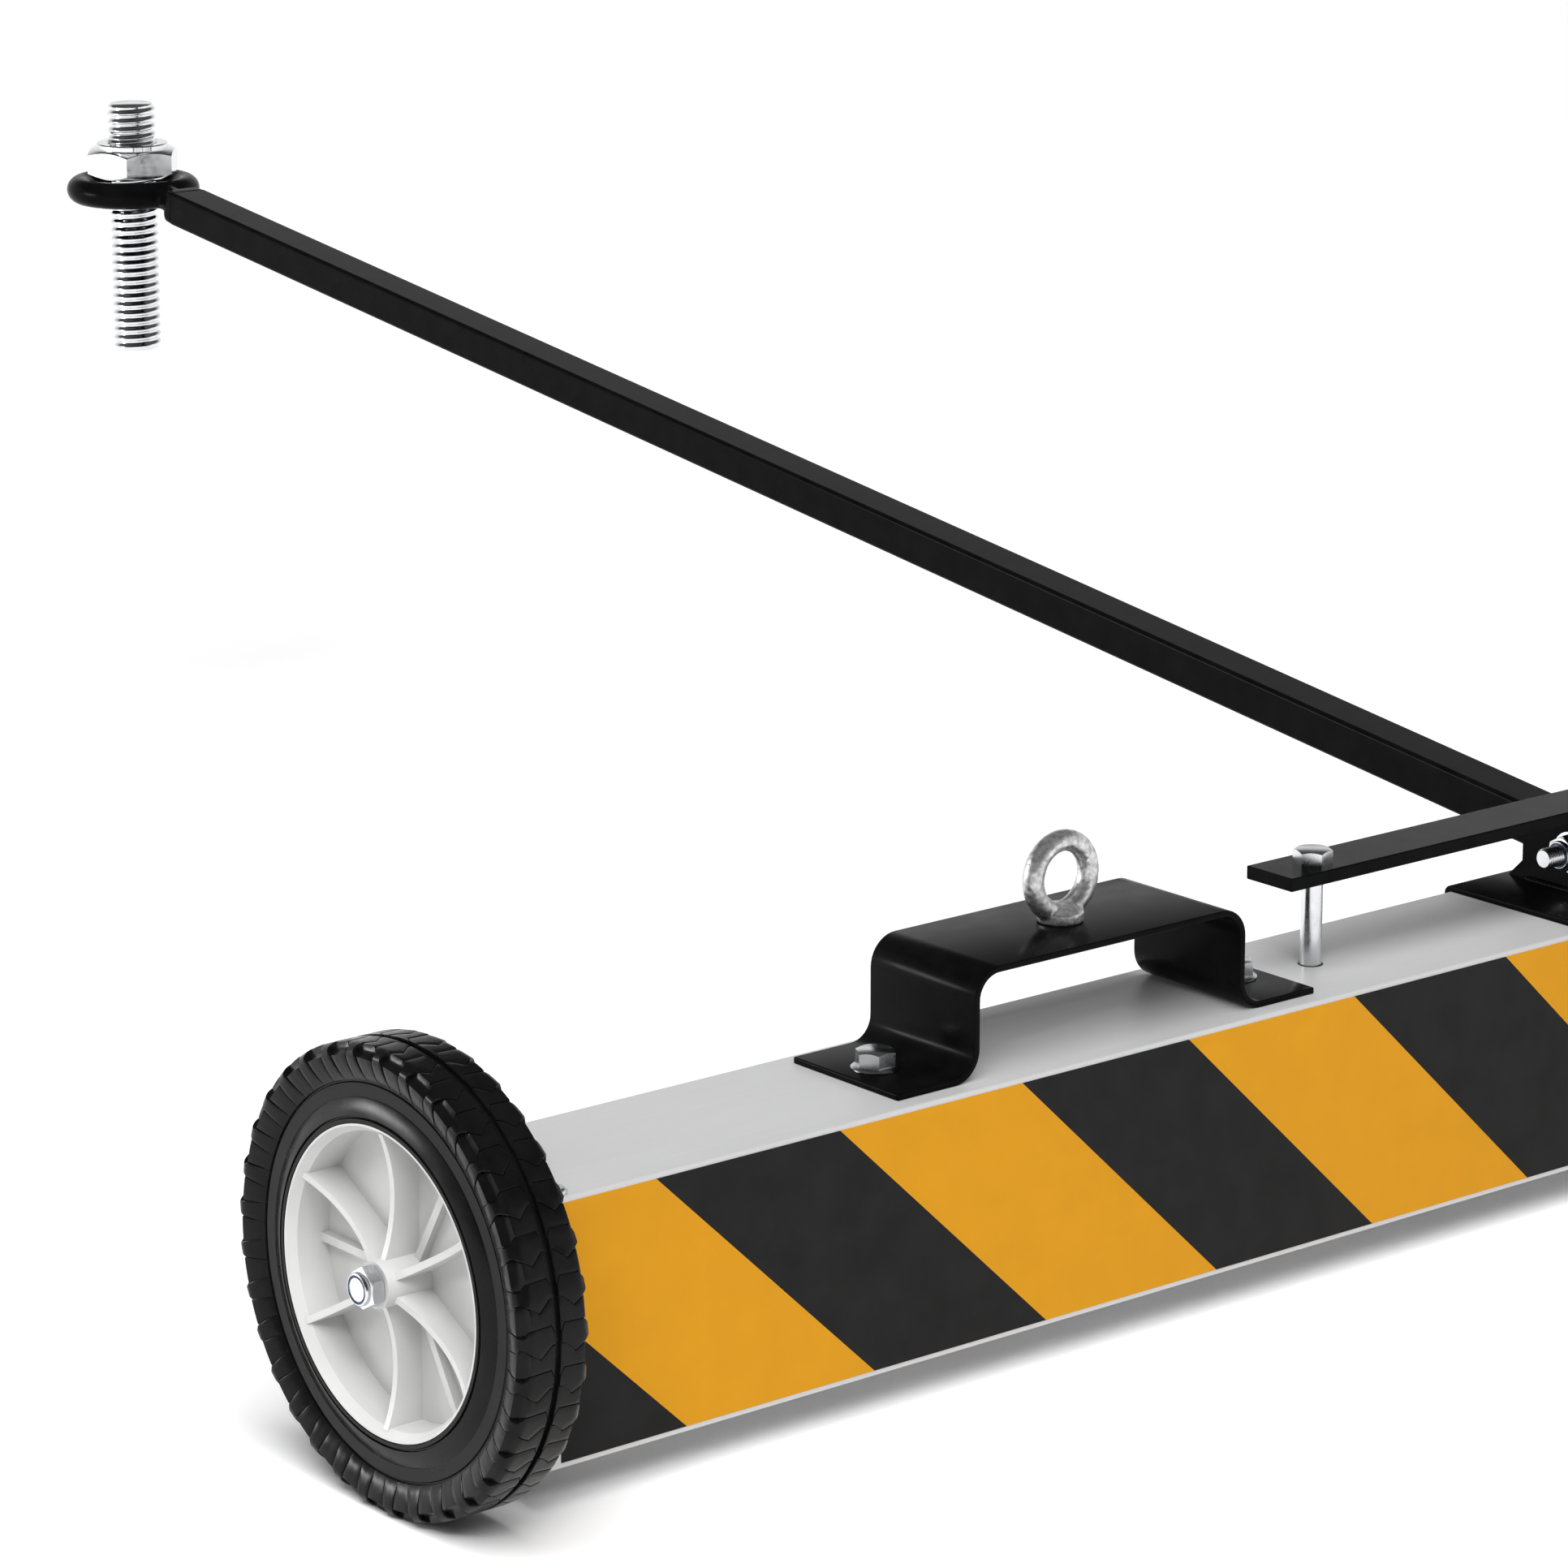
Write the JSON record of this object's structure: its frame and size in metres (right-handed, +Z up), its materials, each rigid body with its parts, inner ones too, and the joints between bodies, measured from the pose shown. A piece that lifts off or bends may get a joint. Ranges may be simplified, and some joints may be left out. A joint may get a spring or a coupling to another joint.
{
  "type": "towed magnetic nail sweeper",
  "caption": "Towed magnetic sweeper: striped aluminium housing on two wheels, lifting magnet bar inside, lifting eyes on brackets and a pivoting drawbar with a tow eye and hitch bolt.",
  "frame": {"origin": "on the ground, under the middle of the whole plan; the axle line is 0.6005 m behind it", "axes": "+X along the axle to the right wheel, +Y forwards along the drawbar to the tow eye, +Z up"},
  "size_m": [1.4592, 1.401, 0.374],
  "materials": {
    "housing_aluminium": "satin, light grey",
    "skin_steel": "brushed",
    "label_film": "yellow and black diagonal stripes, semi-gloss film",
    "black_paint": "black powder coat, semi-gloss",
    "zinc_hardware": "bright zinc plate",
    "cast_galvanised": "rough cast, galvanised",
    "hitch_chrome": "bright chrome",
    "tyre_rubber": "satin moulded rubber",
    "hub_plastic": "off-white moulded plastic, satin",
    "bush_plastic": "black acetal",
    "ferrite": "dark grey sintered ferrite",
    "carrier_steel": "zinc-plated plate"
  },
  "bodies": {
    "chassis": {"housing_shell": "housing_aluminium", "bottom_skin": "skin_steel", "end_cap_left": "housing_aluminium", "end_cap_right": "housing_aluminium", "end_cap_screws": "zinc_hardware", "hazard_label": "label_film", "bracket_left": "black_paint", "bracket_right": "black_paint", "eye_bolt_left": "cast_galvanised", "eye_bolt_right": "cast_galvanised", "eye_nuts": "zinc_hardware", "bracket_bolts": "zinc_hardware", "bracket_nuts": "zinc_hardware", "saddle_plate": "black_paint", "clevis_plate_left": "black_paint", "clevis_plate_right": "black_paint", "clevis_gussets": "black_paint", "pivot_bolt": "zinc_hardware", "pivot_nut": "zinc_hardware", "pivot_washers": "zinc_hardware", "axle_left": "zinc_hardware", "axle_right": "zinc_hardware", "axle_spacer_left": "zinc_hardware", "axle_spacer_right": "zinc_hardware", "axle_nut_left": "zinc_hardware", "axle_nut_right": "zinc_hardware", "pin_guide_left": "bush_plastic", "pin_guide_right": "bush_plastic"},
    "magnet_lift": {"lift_bar": "black_paint", "lift_pin_left": "zinc_hardware", "lift_pin_right": "zinc_hardware", "magnet_carrier": "carrier_steel", "magnets": "ferrite", "carrier_nuts": "zinc_hardware"},
    "drawbar": {"drawbar_tube": "black_paint", "pivot_bush": "bush_plastic", "tow_eye": "black_paint"},
    "hitch": {"hitch_bolt": "hitch_chrome", "hitch_nut": "hitch_chrome"},
    "wheel_left": {"tyre_left": "tyre_rubber", "wheel_hub_left": "hub_plastic", "hub_bush_left": "bush_plastic"},
    "wheel_right": {"tyre_right": "tyre_rubber", "wheel_hub_right": "hub_plastic", "hub_bush_right": "bush_plastic"}
  },
  "joints": [
    {"name": "magnet_lift_slide", "type": "slide", "parent": "chassis", "child": "magnet_lift", "axis": [0, 0, 1], "range_m": [0, 0.06]},
    {"name": "drawbar_pivot", "type": "hinge", "parent": "chassis", "child": "drawbar", "pos_m": [0, -0.6005, 0.1579], "axis": [1, 0, 0], "range_deg": [-15, 18]},
    {"name": "hitch_bolt_turn", "type": "hinge", "parent": "drawbar", "child": "hitch", "pos_m": [0, 0.6585, 0.32], "axis": [0, 0, 1], "continuous": true},
    {"name": "wheel_left_spin", "type": "hinge", "parent": "chassis", "child": "wheel_left", "pos_m": [-0.702, -0.6005, 0.1], "axis": [1, 0, 0], "continuous": true},
    {"name": "wheel_right_spin", "type": "hinge", "parent": "chassis", "child": "wheel_right", "pos_m": [0.702, -0.6005, 0.1], "axis": [1, 0, 0], "continuous": true}
  ]
}
